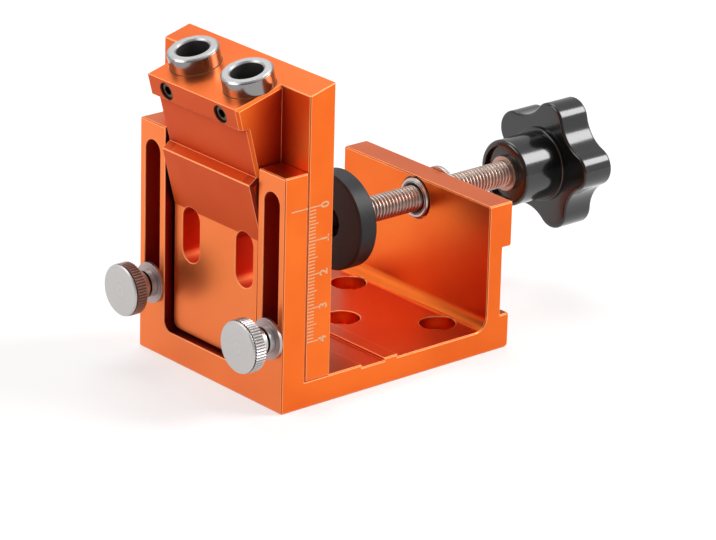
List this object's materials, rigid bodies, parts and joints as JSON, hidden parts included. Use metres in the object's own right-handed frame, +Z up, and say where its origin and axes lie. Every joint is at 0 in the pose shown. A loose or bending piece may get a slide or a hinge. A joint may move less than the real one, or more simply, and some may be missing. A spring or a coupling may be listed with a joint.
{
  "type": "pocket hole jig",
  "caption": "Aluminium pocket hole jig: U-shaped base with a sliding guide block that holds angled drill sleeves, thumb lock screws, and a clamp screw with a swivel pad and a star knob.",
  "frame": {"origin": "centre of the base's underside, on the surface that the jig stands on", "axes": "+Z up, +Y towards the clamp knob, +X towards the side with the depth scale"},
  "size_m": [0.069, 0.1479, 0.0973],
  "materials": {
    "orange_aluminium": "satin orange anodised",
    "sleeve_steel": "ground and polished hardened steel",
    "set_screw_steel": "dark oiled steel",
    "lock_screw_steel": "satin nickel, with a turned face",
    "washer_steel": "matt zinc",
    "clamp_steel": "bright rolled thread, stainless",
    "knob_plastic": "moulded, half gloss",
    "pad_plastic": "moulded, matt"
  },
  "bodies": {
    "base": {"base_frame": "orange_aluminium", "thread_bush": "clamp_steel", "bush_lock_ring": "clamp_steel"},
    "guide": {"guide_block": "orange_aluminium", "drill_sleeve_left": "sleeve_steel", "drill_sleeve_right": "sleeve_steel", "sleeve_set_screw_left": "set_screw_steel", "sleeve_set_screw_right": "set_screw_steel"},
    "lock_washer_left": {"lock_washer_left": "washer_steel"},
    "lock_screw_left": {"lock_screw_left": "lock_screw_steel"},
    "lock_washer_right": {"lock_washer_right": "washer_steel"},
    "lock_screw_right": {"lock_screw_right": "lock_screw_steel"},
    "clamp_pad": {"clamp_pad": "pad_plastic"},
    "clamp_screw": {"clamp_rod": "clamp_steel", "clamp_knob": "knob_plastic", "knob_insert": "clamp_steel", "pad_clip": "clamp_steel"}
  },
  "joints": [
    {"name": "guide_height", "type": "slide", "parent": "base", "child": "guide", "axis": [0, 0, 1], "range_m": [0, 0.04]},
    {"name": "lock_backout_left", "type": "slide", "parent": "guide", "child": "lock_washer_left", "axis": [0, -1, 0], "range_m": [0, 0.0012]},
    {"name": "lock_turn_left", "type": "hinge", "parent": "lock_washer_left", "child": "lock_screw_left", "pos_m": [-0.0267, -0.0425, 0.0214], "axis": [0, -1, 0], "range_deg": [0, 430]},
    {"name": "lock_backout_right", "type": "slide", "parent": "guide", "child": "lock_washer_right", "axis": [0, -1, 0], "range_m": [0, 0.0012]},
    {"name": "lock_turn_right", "type": "hinge", "parent": "lock_washer_right", "child": "lock_screw_right", "pos_m": [0.0267, -0.0425, 0.0214], "axis": [0, -1, 0], "range_deg": [0, 430]},
    {"name": "clamp_advance", "type": "slide", "parent": "base", "child": "clamp_pad", "axis": [0, 1, 0], "range_m": [-0.0235, 0.025]},
    {"name": "clamp_turn", "type": "hinge", "parent": "clamp_pad", "child": "clamp_screw", "pos_m": [0, 0.0005, 0.0384], "axis": [0, 1, 0], "range_deg": [-6760, 7190]}
  ],
  "couplings": [
    {"joint": "lock_backout_left", "follows": "lock_turn_left", "m_per_rad": 0.00015915},
    {"joint": "lock_backout_right", "follows": "lock_turn_right", "m_per_rad": 0.00015915},
    {"joint": "clamp_advance", "follows": "clamp_turn", "m_per_rad": 0.00019894}
  ]
}
